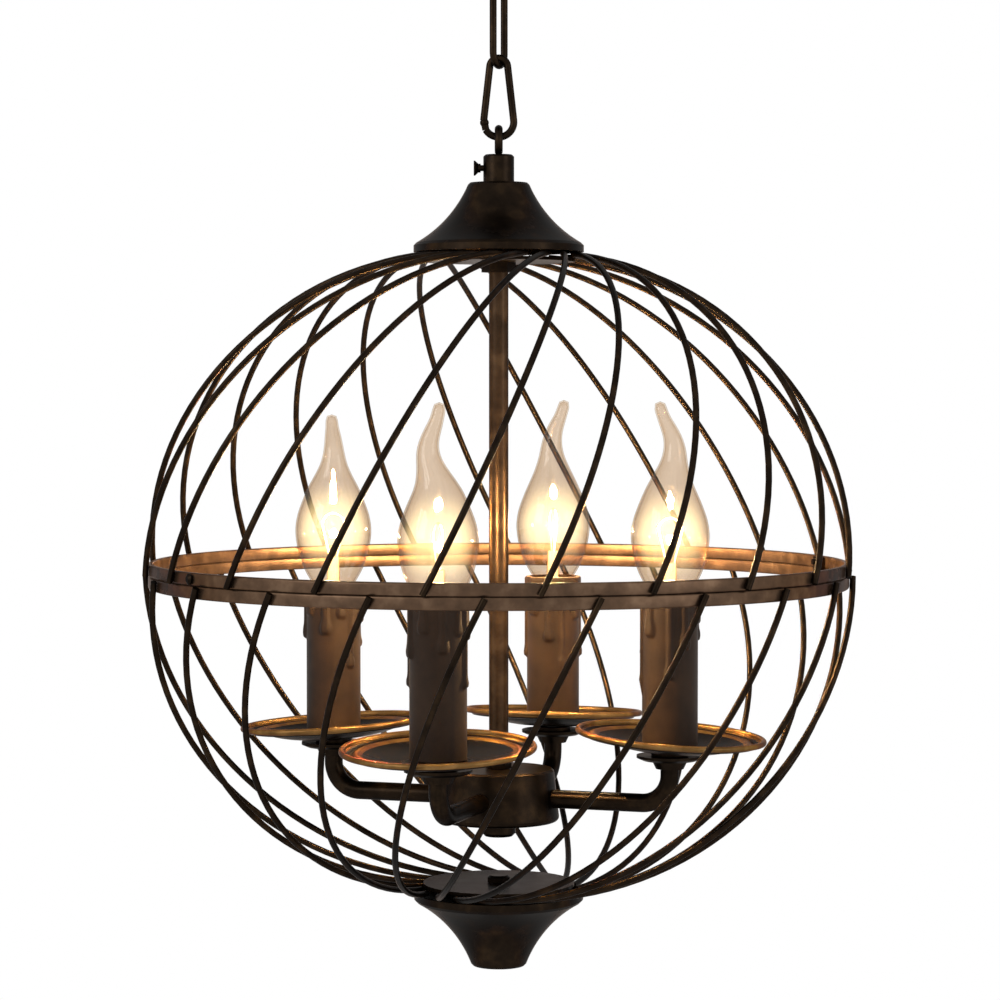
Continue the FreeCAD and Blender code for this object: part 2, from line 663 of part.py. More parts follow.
def hub():
    """A drawn can, open below, with holes for the rod and the arms."""
    corners = [
        ("rod_radius + slide_gap", "0", 0),
        ("hub_top_radius - hub_bevel", "0", 0),
        ("hub_top_radius", "-hub_bevel", 0),
        ("hub_foot_radius", "hub_round - hub_height", "-hub_round"),
        ("hub_foot_radius - hub_round", "-hub_height", 0),
        ("hub_foot_radius - hub_round - hub_wall", "-hub_height", 0),
        ("hub_foot_radius - hub_round - hub_wall", "hub_wall - hub_height", 0),
        ("hub_foot_radius - hub_wall", "hub_round - hub_height + hub_wall", 0),
        ("hub_top_radius - hub_wall", "-hub_wall", 0),
        ("rod_radius + slide_gap", "-hub_wall", 0),
    ]
    can = turned("hub_shell", corners, lift("hub_top_height"))
    holes = []
    for index in range(int(number("arm_count"))):
        steps = arm_frame(index) + [move("rod_radius + 2", 0, "arm_height"), turn(Y, 90)]
        holes.append(cylinder(f"hub_hole_{index + 1}", "arm_radius + slide_gap", "hub_foot_radius", steps))
    return node(cut("hub_can", can, fuse("hub_holes", holes)), "hub_can")


def nub():
    """The rounded nut that closes the hub from below."""
    corners = [
        ("0", "-nub_height", 0),
        ("nub_radius - nub_round", "-nub_height", 0),
        ("nub_radius", "nub_round - nub_height", 0),
        ("nub_radius", "-weld_gap", 0),
        ("rod_radius + slide_gap", "-weld_gap", 0),
        ("rod_radius + slide_gap", "nub_floor - nub_height - slide_gap", 0),
        ("0", "nub_floor - nub_height - slide_gap", 0),
    ]
    return node(turned("hub_bottom_nut", corners, lift("hub_top_height - hub_height")), "hub_bottom_nut")


ARM_TOP = "(arm_height + arm_bend + arm_riser)"
SEAT_FOOT = f"({ARM_TOP} - seat_socket)"
SEAT_TOP = f"({SEAT_FOOT} + seat_height)"
PAN_FLOOR = f"({SEAT_TOP} + seat_boss_radius * sin(pan_tilt) + weld_gap)"
SLEEVE_FOOT = f"({PAN_FLOOR} + pan_sheet + sleeve_radius * sin(pan_tilt) + weld_gap)"
MOUTH = f"({SLEEVE_FOOT} + sleeve_height)"
BASE_TOP = f"({MOUTH} - glass_sunk)"
HOLDER_FLOOR = f"({BASE_TOP} - base_length - weld_gap)"


def candle(index, height):
    """The upright candle axis of arm number index, at a height."""
    return arm_frame(index) + [move("arm_reach", 0, height)]


def pan_seat(index):
    """A stepped cup on the arm's end, bored for the arm below and the nipple above."""
    label = f"pan_seat_{index + 1}"
    low = "arm_radius + slide_gap"
    high = "nipple_radius + slide_gap"
    flange_foot = "seat_height - seat_boss_height - seat_flange"
    corners = [
        (low, "0", 0),
        ("seat_foot_radius - seat_bevel", "0", 0),
        ("seat_foot_radius + seat_flare", flange_foot, 0),
        ("seat_radius - 3", flange_foot, 0),
        ("seat_radius", f"{flange_foot} + seat_flange * 0.5", 0),
        ("seat_radius", "seat_height - seat_boss_height", 0),
        ("seat_boss_radius", "seat_height - seat_boss_height", 0),
        ("seat_boss_radius", "seat_height", 0),
        (high, "seat_height", 0),
        (high, "seat_socket + weld_gap", 0),
        (low, "seat_socket + weld_gap", 0),
    ]
    return node(turned(label, corners, candle(index, SEAT_FOOT)), label)


def drip_pan(index):
    """A spun pan: flat floor, bowl, groove and rolled rim, tilted outwards a little."""
    label = f"drip_pan_{index + 1}"
    upper = [
        ("pan_floor", "0"),
        ("pan_slope_radius", "pan_slope_height"),
        ("pan_groove_radius", "pan_groove_height"),
        ("pan_rim_radius", "pan_rim_height - pan_bead"),
    ]
    bore = "nipple_radius + 3 * slide_gap"
    corners = [(bore, "0", 0)]
    corners += [(radius, height, 0) for radius, height in upper]
    corners += [(radius, f"{height} + pan_sheet", 0) for radius, height in reversed(upper)]
    corners.append((bore, "pan_sheet", 0))
    steps = candle(index, PAN_FLOOR) + [turn(Y, "pan_tilt")]
    bowl = turned(label + "_bowl", corners, steps)
    bead = arc_rod(label + "_bead", "pan_rim_radius", "pan_bead", 360,
                   steps + [move(0, 0, "pan_rim_height - pan_bead + pan_sheet / 2")])
    return node(fuse(label, [bowl, bead]), label)


def lampholder(index):
    """A screw holder inside the sleeve, on a nipple that clamps pan and seat."""
    label = f"lampholder_{index + 1}"
    foot = f"({SEAT_FOOT} + seat_socket + 2 * weld_gap)"
    floor = f"({HOLDER_FLOOR} - holder_floor - {foot})"
    top = f"({floor} + holder_floor + weld_gap + base_length - holder_short)"
    inside = "cap_shell + base_play"
    corners = [
        ("nipple_radius - nipple_wall", "0", 0),
        ("nipple_radius", "0", 0),
        ("nipple_radius", floor, 0),
        ("holder_ring", floor, 0),
        ("holder_ring", f"{floor} + holder_floor", 0),
        ("holder_radius", f"{floor} + holder_floor", 0),
        ("holder_radius", top, 0),
        (inside, top, 0),
        (inside, f"{floor} + holder_floor", 0),
        ("nipple_radius - nipple_wall", f"{floor} + holder_floor", 0),
    ]
    return node(turned(label, corners, candle(index, foot)), label)


def candle_sleeve(index):
    """A moulded tube that looks like a candle."""
    label = f"candle_sleeve_{index + 1}"
    inner = "sleeve_radius - sleeve_wall"
    corners = [
        (inner, "0", 0),
        ("sleeve_radius", "0", 0),
        ("sleeve_radius", "sleeve_height - 1", 0),
        ("sleeve_radius - sleeve_lip", "sleeve_height", 0),
        (inner, "sleeve_height", 0),
    ]
    return node(turned(label, corners, candle(index, SLEEVE_FOOT)), label)


def bulb_base(index):
    label = f"bulb_base_{index + 1}"
    corners = [
        ("0", "0", 0),
        ("base_tip", "0", 0),
        ("base_tip + base_slope", "base_contact", 0),
        ("cap_shell - base_bevel", "base_insulator", 0),
        ("cap_shell", "base_shell_foot", 0),
        ("cap_shell", "base_length - 2", 0),
        ("glass_foot", "base_length - weld_gap", 0),
        ("0", "base_length - weld_gap", 0),
    ]
    return node(turned(label, corners, candle(index, f"{BASE_TOP} - base_length")), label)


def glass_skin(label, index, inset, foot):
    """A flame through circles: neck, belly, shoulder and a tail that bends over and back."""
    belly = "glass_wide_height"
    neck = f"(glass_tail_height - {belly})"
    tail = "(glass_height - glass_tail_height)"
    rings = (
        (f"-glass_sunk + {foot}", "glass_foot", "0"),
        ("-glass_sunk * 0.15", "glass_neck", "0"),
        (f"{belly} * 0.32", "glass_wide * 0.86", "0"),
        (belly, "glass_wide", "0"),
        (f"{belly} + {neck} * 0.40", "glass_wide * 0.80", "glass_bend * 0.10"),
        (f"{belly} + {neck} * 0.72", "glass_wide * 0.47", "glass_bend * 0.50"),
        ("glass_tail_height", "glass_tail", "glass_bend * 0.88"),
        (f"glass_tail_height + {tail} * 0.33", "glass_tail * 0.76", "glass_bend"),
        (f"glass_tail_height + {tail} * 0.66", "glass_tail * 0.54", "glass_bend * 0.62"),
        (f"glass_height - {inset}", "glass_tip", "-glass_bend * 0.1"),
    )
    sections = []
    for number_of, (height, radius, shift) in enumerate(rings):
        circle = doc.addObject("Part::Circle", f"{label}_ring_{number_of}")
        circle.setExpression("Radius", bound(f"{radius} - {inset}"))
        bend_to = candle(index, MOUTH) + [turn(Z, f"bulb_turn_{index + 1}"), move(shift, 0, height)]
        place(circle, bend_to)
        sections.append(circle)
    loft = doc.addObject("Part::Loft", label)
    loft.Sections = sections
    loft.Solid = True
    loft.Ruled = False
    return loft


def bulb_glass(index):
    label = f"bulb_glass_{index + 1}"
    outer = glass_skin(label + "_outer", index, "0", "0")
    inner = glass_skin(label + "_inner", index, "glass_wall", "0")
    return node(cut(label, outer, inner), label)


def bulb_stem(index):
    """The glass stem with its two supports and the filament bow between them."""
    label = f"bulb_stem_{index + 1}"
    foot = f"({BASE_TOP} + weld_gap)"
    stem = cylinder(label + "_post", "stem_radius", "stem_height", candle(index, foot))
    top = f"({foot} + stem_height)"
    pieces = [stem]
    foot_out = "stem_radius * 0.6"
    spread = f"(atan((filament_radius - {foot_out}) / filament_rise) / 1 deg)"
    for name, hand in (("left", -1), ("right", 1)):
        low = candle(index, f"{top}")
        steps = low + [move(f"{hand} * {foot_out}", 0, 0), turn(Y, f"{hand} * {spread}")]
        steps.append(move(0, 0, "-stem_radius / 2"))
        length = f"filament_rise / cos({spread}) + stem_radius"
        pieces.append(cylinder(f"{label}_support_{name}", "filament_wire", length, steps))
    pieces.append(arc_rod(label + "_bow", "filament_radius", "filament_wire", 180,
                          candle(index, f"{top} + filament_rise") + [turn(X, 90)]))
    return node(fuse(label, pieces), label)


def cup_screw(flip):
    """The screw that pulls the bottom cup up against the lower ribs."""
    head = f"({PLATE_TOP} - plate_thickness - weld_gap)"
    corners = [
        ("0", f"{head} - cup_screw_head_height", 0),
        ("cup_screw_head - cup_screw_bevel", f"{head} - cup_screw_head_height", 0),
        ("cup_screw_head", f"{head} - cup_screw_head_height + cup_screw_bevel", 0),
        ("cup_screw_head", head, 0),
        ("cup_screw_radius", head, 0),
        ("cup_screw_radius", f"{CAP_RIM} + cup_height - cup_floor / 2", 0),
        ("0", f"{CAP_RIM} + cup_height - cup_floor / 2", 0),
    ]
    return node(turned("cup_screw", corners, flip), "cup_screw")


def check():
    """Every object has computed, and every sub-part is a sound solid."""
    failed = [one.Label for one in doc.Objects if "Invalid" in one.State or "Error" in one.State]
    if failed:
        raise RuntimeError("failed: " + ", ".join(failed))
    unsound = [one.Label for one in NODES
               if one.Shape.isNull() or not one.Shape.isValid() or not one.Shape.Solids]
    if unsound:
        raise RuntimeError("no sound solid: " + ", ".join(unsound))


def build():
    ceiling_canopy()
    ceiling_bracket()
    ceiling_loop()
    stem_nut_foot = "(-bracket_drop + bracket_thickness + weld_gap)"
    hex_nut("stem_nut", "stem_nut_radius", "stem_nut_height", "loop_stem + slide_gap",
            [move(0, 0, stem_nut_foot)])
    chain_link()
    pear_link()
    hanging_eye()
    thumb_screw()
    flare("top_cap", "cap_rim", "cap_height", "cap_top_radius", "rod_radius + slide_gap",
          "cap_wall", "", "", lift(CAP_RIM))
    disc("upper_rib_plate", "plate_radius", "rod_radius + slide_gap", "plate_thickness",
         lift(f"{PLATE_TOP} - plate_thickness"))
    hex_nut("cap_nut", "nut_radius", "nut_height", "rod_radius + slide_gap",
            lift(f"{PLATE_TOP} - plate_thickness - weld_gap - nut_height"))
    ribs("upper_ribs", True)
    band("upper_band", True)
    band("lower_band", False)
    ribs("lower_ribs", False)
    tabs()
    joint_screws()
    flip = LAMP + [turn(X, 180)]
    disc("lower_rib_plate", "plate_radius", "cup_screw_radius + slide_gap", "plate_thickness",
         flip + [move(0, 0, f"{PLATE_TOP} - plate_thickness")])
    flare("bottom_cup", "cap_rim", "cup_height", "cup_end_radius", "cup_screw_radius + slide_gap",
          "cup_floor", "cup_boss_radius", "cup_boss_height", flip + [move(0, 0, CAP_RIM)])
    cup_screw(flip)
    centre_rod()
    hub()
    disc("hub_cover", "hub_foot_radius - hub_round - hub_wall - slide_gap", "rod_radius + slide_gap",
         "hub_wall", lift("hub_top_height - hub_height"))
    hex_nut("hub_top_nut", "hub_nut_radius", "hub_nut_height", "rod_radius + slide_gap",
            lift("hub_top_height + weld_gap"))
    nub()
    for index in range(int(number("arm_count"))):
        arm(index)
        pan_seat(index)
        drip_pan(index)
        lampholder(index)
        candle_sleeve(index)
        bulb_base(index)
        bulb_glass(index)
        bulb_stem(index)


build()
doc.recompute()
check()
os.makedirs("parts", exist_ok=True)
for thing in NODES:
    thing.Shape.exportStep(os.path.join("parts", thing.Label + ".step"))
print(len(NODES), "nodes", round(number(CEILING), 2), "ring drop")
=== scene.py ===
import math

import bmesh
import bpy
from mathutils import Matrix, Vector


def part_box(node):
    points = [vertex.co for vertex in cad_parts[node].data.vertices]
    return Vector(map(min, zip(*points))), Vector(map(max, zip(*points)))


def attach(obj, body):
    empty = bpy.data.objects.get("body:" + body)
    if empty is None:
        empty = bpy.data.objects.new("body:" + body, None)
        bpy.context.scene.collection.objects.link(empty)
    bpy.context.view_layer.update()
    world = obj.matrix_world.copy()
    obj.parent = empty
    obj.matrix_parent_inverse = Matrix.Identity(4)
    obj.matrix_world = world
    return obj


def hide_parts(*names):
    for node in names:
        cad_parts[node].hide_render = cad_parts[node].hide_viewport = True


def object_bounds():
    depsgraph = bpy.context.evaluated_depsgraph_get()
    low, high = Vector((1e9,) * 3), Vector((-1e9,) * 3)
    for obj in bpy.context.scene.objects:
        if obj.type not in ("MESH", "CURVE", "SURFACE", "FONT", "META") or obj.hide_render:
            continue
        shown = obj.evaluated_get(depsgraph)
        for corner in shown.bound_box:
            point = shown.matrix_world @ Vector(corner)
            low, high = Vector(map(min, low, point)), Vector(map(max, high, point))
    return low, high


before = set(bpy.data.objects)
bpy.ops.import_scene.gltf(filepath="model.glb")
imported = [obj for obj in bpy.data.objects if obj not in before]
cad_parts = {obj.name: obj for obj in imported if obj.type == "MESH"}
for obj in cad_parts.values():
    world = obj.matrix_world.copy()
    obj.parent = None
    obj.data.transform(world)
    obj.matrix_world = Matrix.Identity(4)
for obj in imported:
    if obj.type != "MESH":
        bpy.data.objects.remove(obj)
cad_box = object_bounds()
MM = 0.001


# ---------------------------------------------------------------- sizes in mm and degrees

BULBS = (1, 2, 3, 4)
RING = (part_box("upper_band")[0].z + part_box("lower_band")[1].z) / 2 / MM
BAND_HEIGHT = (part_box("upper_band")[1].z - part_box("upper_band")[0].z) / MM
BAND_EXTRA = 0.15       # each band is this much taller than the CAD's, so that they meet
BAND_WIDTH = 2.6
BAND_OUTER_EDGE = 1.0   # radius of the bar's outer edges
BAND_INNER_EDGE = 0.7

SLEEVE_TRIM = 4         # the moulded rim ends this far below the CAD sleeve's mouth
SLEEVE_WALL = 1.4
SLEEVE_INSET = 0.02     # the bare skin lies this far inside the CAD tube
WAX_RINGS = 55          # rings of points down the part with wax, and the step between them
WAX_STEP = 0.8
FILAMENT_RISE = 24      # brightest part of the filament above the CAD sleeve's mouth

GLASS_WALL = 0.7
GLASS_LENGTH = 87       # above the CAD sleeve's mouth
GLASS_SHOULDER = 45     # the tail is drawn out from this height
TAIL_START = 44         # and bends from this one

PAN_TILT = 4
PAN_SEAT = 17           # radius of the flat middle that lies on the arm's cup
PAN_WALL = 1.0
PAN_HOLE = 3.6
PAN_RIM = 43            # the rim beyond this radius gets the painted highlight
PAN_RIDGE = (36, 39.6)  # and so does the ridge between these

LINK_TWIST = 26
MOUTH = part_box("candle_sleeve_1")[1].z
HEART = MOUTH + FILAMENT_RISE * MM

# Wax runs moulded on each sleeve: (angle, length, half width, thickness)
RUNS = [(6, 25, 3.1, 1.9), (40, 17, 2.6, 1.6), (62, 42, 2.4, 1.7), (101, 20, 3.8, 1.8),
        (139, 33, 2.7, 1.9), (168, 46, 2.2, 1.5), (206, 22, 3.6, 1.9), (251, 42, 2.6, 1.7),
        (284, 28, 3.3, 1.9), (325, 16, 3.4, 1.6)]
SLEEVE_TURNS = {1: 15, 2: 120, 3: 250, 4: 275}

# Outline of the blown glass: (radius, height above the CAD sleeve's mouth)
BLOWN = [(7.6, -7), (8.6, -5.6), (10.1, -3.6), (12.3, 0), (14.8, 5), (16.8, 11), (18.1, 18),
         (18.4, 23.5), (17.4, 30), (15.0, 37), (12.0, 44), (8.8, 51), (6.3, 57.5), (5.0, 63),
         (4.1, 69), (3.4, 75), (2.7, 80), (2.4, 84), (1.8, 86.3), (0, GLASS_LENGTH)]
# Each pulled tail is its own: way it leans from +X, lean, offset of its end, length
TAILS = {1: (180, -2.3, 5.0, 87), 2: (0, -1.0, 5.6, 87), 3: (100, -3.0, 6.0, 80),
         4: (0, -4.7, 0.6, 87)}

# Section of the spun pan above its floor: (radius, height), from the flat middle to the rim
DISH = [(16.5, 0), (19, 0.15), (25, 1.1), (31, 2.6), (35.5, 4.3), (37.6, 5.5), (39.0, 5.3),
        (40.6, 4.4), (42.2, 4.7), (43.6, 6.0)]
ROLLED_RIM = (45.2, 7.3, 1.45)  # radius and height of the roll's middle, and its own radius


# ---------------------------------------------------------------- materials

def colour(code):
    """Linear colour of an sRGB hex code."""
    parts = [int(code[i:i + 2], 16) / 255 for i in (1, 3, 5)]
    linear = [c / 12.92 if c <= 0.04045 else ((c + 0.055) / 1.055) ** 2.4 for c in parts]
    return (*linear, 1.0)


def finish_named(name):
    """A new node material and its empty tree."""
    made = bpy.data.materials.new(name)
    made.use_nodes = True
    made.node_tree.nodes.clear()
    return made, made.node_tree


def add(tree, kind, settings=None, links=None):
    """One node, with its settings and its incoming links (input name or number: output socket).
    Stops are those of a colour ramp: (place, hex code)."""
    made = tree.nodes.new(kind)
    for name, value in (settings or {}).items():
        if name == "stops":
            row = made.color_ramp.elements
            while len(row) < len(value):
                row.new(0.5)
            for stop, (place, code) in zip(row, value):
                stop.position = place
                stop.color = colour(code)
        elif isinstance(name, int) or name in made.inputs:
            made.inputs[name].default_value = value
        else:
            setattr(made, name, value)
    for name, socket in (links or {}).items():
        tree.links.new(socket, made.inputs[name])
    return made


def bronze_powder_coat(name, dark, middle, pale):
    """Oil-rubbed bronze powder coat, baked on steel: near black brown with a faint metal flake,
    a satin surface, a fine orange peel and paler brown where it is rubbed."""
    made, tree = finish_named(name)
    place = add(tree, "ShaderNodeTexCoord").outputs["Object"]
    # clouds of brown, about 9 mm across
    cloud = add(tree, "ShaderNodeTexNoise", {"Scale": 110.0, "Detail": 3.0, "Roughness": 0.55},
                {"Vector": place})
    tone = add(tree, "ShaderNodeValToRGB",
               {"stops": [(0.30, dark), (0.52, middle), (0.72, pale)]},
               {"Fac": cloud.outputs["Fac"]})
    # orange peel of the baked powder, about 1 mm across
    peel = add(tree, "ShaderNodeTexNoise", {"Scale": 1000.0, "Detail": 2.0}, {"Vector": place})
    gloss = add(tree, "ShaderNodeMapRange", {"To Min": 0.24, "To Max": 0.38},
                {"Value": cloud.outputs["Fac"]})
    bump = add(tree, "ShaderNodeBump", {"Strength": 0.07, "Distance": 0.2 * MM},
               {"Height": peel.outputs["Fac"]})
    coat = add(tree, "ShaderNodeBsdfPrincipled",
               {"Metallic": 0.8, "Specular Tint": colour("#7E5F3E"), "Specular IOR Level": 0.35},
               {"Base Color": tone.outputs["Color"], "Roughness": gloss.outputs["Result"],
                "Normal": bump.outputs["Normal"]})
    add(tree, "ShaderNodeOutputMaterial", links={"Surface": coat.outputs["BSDF"]})
    return made


def candle_moulding():
    """Moulded candle sleeve sprayed bronze brown: matt, slightly mottled."""
    made, tree = finish_named("painted_candle_moulding")
    place = add(tree, "ShaderNodeTexCoord").outputs["Object"]
    # spray clouds about 12 mm across
    cloud = add(tree, "ShaderNodeTexNoise", {"Scale": 80.0, "Detail": 4.0}, {"Vector": place})
    tone = add(tree, "ShaderNodeValToRGB", {"stops": [(0.30, "#281B11"), (0.70, "#3A291B")]},
               {"Fac": cloud.outputs["Fac"]})
    # dried spray grain, about 0.8 mm
    grain = add(tree, "ShaderNodeTexNoise", {"Scale": 1250.0, "Detail": 2.0}, {"Vector": place})
    bump = add(tree, "ShaderNodeBump", {"Strength": 0.25, "Distance": 0.2 * MM},
               {"Height": grain.outputs["Fac"]})
    coat = add(tree, "ShaderNodeBsdfPrincipled",
               {"Roughness": 0.6, "IOR": 1.5, "Specular IOR Level": 0.2},
               {"Base Color": tone.outputs["Color"], "Normal": bump.outputs["Normal"]})
    add(tree, "ShaderNodeOutputMaterial", links={"Surface": coat.outputs["BSDF"]})
    return made


def clear_bulb_glass():
    """Blown clear soda-lime glass of a lit bulb: thin, faintly warm, darker where it is seen edge
    on, and flooded with light at the height of the filament."""
    made, tree = finish_named("clear_bulb_glass")
    place = add(tree, "ShaderNodeTexCoord").outputs["Object"]
    edge = add(tree, "ShaderNodeLayerWeight", {"Blend": 0.35})
    # tint of one of the four surfaces that a line of sight passes
    tone = add(tree, "ShaderNodeValToRGB",
               {"stops": [(0.0, "#F6EFE7"), (0.50, "#F0E7DC"), (0.78, "#DACCBD"),
                          (0.92, "#A39382"), (1.0, "#554A3F")]},
               {"Fac": edge.outputs["Facing"]})
    # faint ripples of the blown tail, about 6 mm apart
    wave = add(tree, "ShaderNodeTexNoise", {"Scale": 160.0, "Detail": 1.0}, {"Vector": place})
    bump = add(tree, "ShaderNodeBump", {"Strength": 0.15, "Distance": 1 * MM},
               {"Height": wave.outputs["Fac"]})
    through = add(tree, "ShaderNodeBsdfTransparent", links={"Color": tone.outputs["Color"]})
    mirror = add(tree, "ShaderNodeBsdfGlossy", {"Roughness": 0.04},
                 {"Normal": bump.outputs["Normal"]})
    rim = add(tree, "ShaderNodeMath", {"operation": "POWER", 1: 5.0},
              {0: edge.outputs["Facing"]})
    polish = add(tree, "ShaderNodeMapRange", {"To Min": 0.03, "To Max": 0.35},
                 {"Value": rim.outputs["Value"]})
    glass = add(tree, "ShaderNodeMixShader",
                links={0: polish.outputs["Result"], 1: through.outputs["BSDF"],
                       2: mirror.outputs["BSDF"]})
    # light of the filament in the glass, fading over about 24 mm up and down
    height = add(tree, "ShaderNodeSeparateXYZ", links={"Vector": place})
    away = add(tree, "ShaderNodeMath", {"operation": "SUBTRACT", 1: HEART},
               {0: height.outputs["Z"]})
    apart = add(tree, "ShaderNodeMath", {"operation": "ABSOLUTE"}, {0: away.outputs["Value"]})
    reach = add(tree, "ShaderNodeMapRange",
                {"interpolation_type": "SMOOTHSTEP", "From Min": 0.0, "From Max": 24 * MM,
                 "To Min": 1.0, "To Max": 0.0}, {"Value": apart.outputs["Value"]})
    facing = add(tree, "ShaderNodeMapRange",
                 {"interpolation_type": "SMOOTHSTEP", "From Min": 0.0, "From Max": 0.50,
                  "To Min": 1.0, "To Max": 0.06}, {"Value": edge.outputs["Facing"]})
    amount = add(tree, "ShaderNodeMath", {"operation": "MULTIPLY"},
                 {0: reach.outputs["Result"], 1: facing.outputs["Result"]})
    shine = add(tree, "ShaderNodeMath", {"operation": "MULTIPLY", 1: 0.34},
                {0: amount.outputs["Value"]})
    glow = add(tree, "ShaderNodeEmission", {"Color": colour("#FFE7A8")},
               {"Strength": shine.outputs["Value"]})
    both = add(tree, "ShaderNodeAddShader",
               links={0: glass.outputs["Shader"], 1: glow.outputs["Emission"]})
    # light on its way out passes the glass without a shadow
    ray = add(tree, "ShaderNodeLightPath")
    clear = add(tree, "ShaderNodeBsdfTransparent", {"Color": colour("#FFF6EA")})
    mixed = add(tree, "ShaderNodeMixShader",
                links={0: ray.outputs["Is Shadow Ray"], 1: both.outputs["Shader"],
                       2: clear.outputs["BSDF"]})
    add(tree, "ShaderNodeOutputMaterial", links={"Surface": mixed.outputs["Shader"]})
    return made


def filament_and_stem():
    """Pressed glass stem with its wires: clear below, white hot tungsten round the filament."""
    made, tree = finish_named("hot_filament_and_stem")
    place = add(tree, "ShaderNodeTexCoord").outputs["Object"]
    # waves of the pressed glass, about 2.5 mm apart
    grain = add(tree, "ShaderNodeTexNoise", {"Scale": 400.0}, {"Vector": place})
    bump = add(tree, "ShaderNodeBump", {"Strength": 0.1, "Distance": 0.2 * MM},
               {"Height": grain.outputs["Fac"]})
    stem = add(tree, "ShaderNodeBsdfPrincipled",
               {"Base Color": colour("#EFE6D8"), "Roughness": 0.15, "IOR": 1.5,
                "Transmission Weight": 0.5}, {"Normal": bump.outputs["Normal"]})
    height = add(tree, "ShaderNodeSeparateXYZ", links={"Vector": place})
    hot = add(tree, "ShaderNodeMapRange",
              {"interpolation_type": "SMOOTHSTEP", "From Min": HEART - 12 * MM,
               "From Max": HEART - 2 * MM, "To Min": 0.4, "To Max": 4.0},
              {"Value": height.outputs["Z"]})
    light = add(tree, "ShaderNodeEmission", {"Color": colour("#FFE3B0")},
                {"Strength": hot.outputs["Result"]})
    both = add(tree, "ShaderNodeAddShader",
               links={0: stem.outputs["BSDF"], 1: light.outputs["Emission"]})
    # thin clear glass at its outline, where the glare drowns its edge
    edge = add(tree, "ShaderNodeLayerWeight", {"Blend": 0.5})
    thin = add(tree, "ShaderNodeMapRange",
               {"interpolation_type": "SMOOTHSTEP", "From Min": 0.02, "From Max": 0.62},
               {"Value": edge.outputs["Facing"]})
    clear = add(tree, "ShaderNodeBsdfTransparent", {"Color": colour("#FFF3DC")})
    mixed = add(tree, "ShaderNodeMixShader",
                links={0: thin.outputs["Result"], 1: both.outputs["Shader"],
                       2: clear.outputs["BSDF"]})
    add(tree, "ShaderNodeOutputMaterial", links={"Surface": mixed.outputs["Shader"]})
    return made


def plain_finish(name, low, high, scale, metallic, roughness):
    """A finish mottled between two hex codes, by a pattern of that many clouds a metre."""
    made, tree = finish_named(name)
    place = add(tree, "ShaderNodeTexCoord").outputs["Object"]
    cloud = add(tree, "ShaderNodeTexNoise", {"Scale": scale, "Detail": 3.0}, {"Vector": place})
    tone = add(tree, "ShaderNodeValToRGB", {"stops": [(0.35, low), (0.65, high)]},
               {"Fac": cloud.outputs["Fac"]})
    bump = add(tree, "ShaderNodeBump", {"Strength": 0.12, "Distance": 0.1 * MM},
               {"Height": cloud.outputs["Fac"]})
    coat = add(tree, "ShaderNodeBsdfPrincipled", {"Metallic": metallic, "Roughness": roughness},
               {"Base Color": tone.outputs["Color"], "Normal": bump.outputs["Normal"]})
    add(tree, "ShaderNodeOutputMaterial", links={"Surface": coat.outputs["BSDF"]})
    return made


FINISHES = {
    "bronze_coat": bronze_powder_coat("bronze_powder_coat", "#17120E", "#201913", "#30251A"),
    "candle_moulding": candle_moulding(),
    "clear_glass": clear_bulb_glass(),
    "filament_stem": filament_and_stem(),
    # nickel-plated brass screw shell: bright, slightly yellow
    "screw_base_metal": plain_finish("nickel_plated_brass", "#B9B0A0", "#CFC7B8",
                                     scale=500, metallic=1.0, roughness=0.25),
    # black thermoplastic lampholder: satin moulding
    "holder_plastic": plain_finish("black_moulded_lampholder", "#17130F", "#211C18",
                                   scale=700, metallic=0.0, roughness=0.4),
    # zinc-plated steel of the ceiling bracket and nut: dull silver
    "plated_steel": plain_finish("zinc_plated_steel", "#9A9B98", "#B4B5B0",
                                 scale=300, metallic=1.0, roughness=0.38),
}

# the bands are a paler brown, painted light for the light that falls on them; the rod is a lighter
# brown; the pans' rims and ridge are old gold, a painted highlight of the bulbs' warm light
BAND_PAINTED_LIGHT_BRONZE = bronze_powder_coat("band_painted_light_powder_coat", "#4A3A2E", "#5A4637", "#6E5846")
ROD_BRONZE = bronze_powder_coat("satin_bronze_powder_coat", "#2B2119", "#3A2D22", "#4B3B2C")
PAN_PAINTED_HIGHLIGHT_GOLD = bronze_powder_coat("gold_painted_highlight_powder_coat", "#5E4527", "#785A34", "#8E6D42")

for name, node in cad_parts.items():
    for held in node.material_slots:
        for slot_name, finish in FINISHES.items():
            if held.material and held.material.name.startswith(slot_name):
                held.material = ROD_BRONZE if name == "centre_rod" else finish
                break


# ---------------------------------------------------------------- new pieces

def piece(name, bm, slot_name, body, *nodes):
    """The bmesh as a finished piece that rides on a body and stands for CAD nodes."""
    mesh = bpy.data.meshes.new(name)
    for face in bm.faces:
        face.smooth = True
    bm.to_mesh(mesh)
    bm.free()
    made = bpy.data.objects.new(name, mesh)
    bpy.context.scene.collection.objects.link(made)
    mesh.materials.append(FINISHES[slot_name])
    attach(made, body)
    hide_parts(*nodes)
    return made


def spun(points, sides, closed=False):
    """A bmesh skin turned about Z from (radius, height) points in mm. It is closed where it
    reaches a radius of 0, or all round where the outline is."""
    bm = bmesh.new()
    row = [bm.verts.new((r * MM, 0, h * MM)) for r, h in points]
    following = row[1:] + row[:1] if closed else row[1:]
    edges = [bm.edges.new(pair) for pair in zip(row, following)]
    bmesh.ops.spin(bm, geom=row + edges, axis=(0, 0, 1), cent=(0, 0, 0), dvec=(0, 0, 0),
                   angle=2 * math.pi, steps=sides, use_merge=True)
    bmesh.ops.remove_doubles(bm, verts=bm.verts, dist=1e-6)
    bmesh.ops.recalc_face_normals(bm, faces=bm.faces)
    return bm


def ramp(value, low, high):
    """0 below low, 1 above high, smooth between."""
    t = min(max((value - low) / (high - low), 0), 1)
    return t * t * (3 - 2 * t)


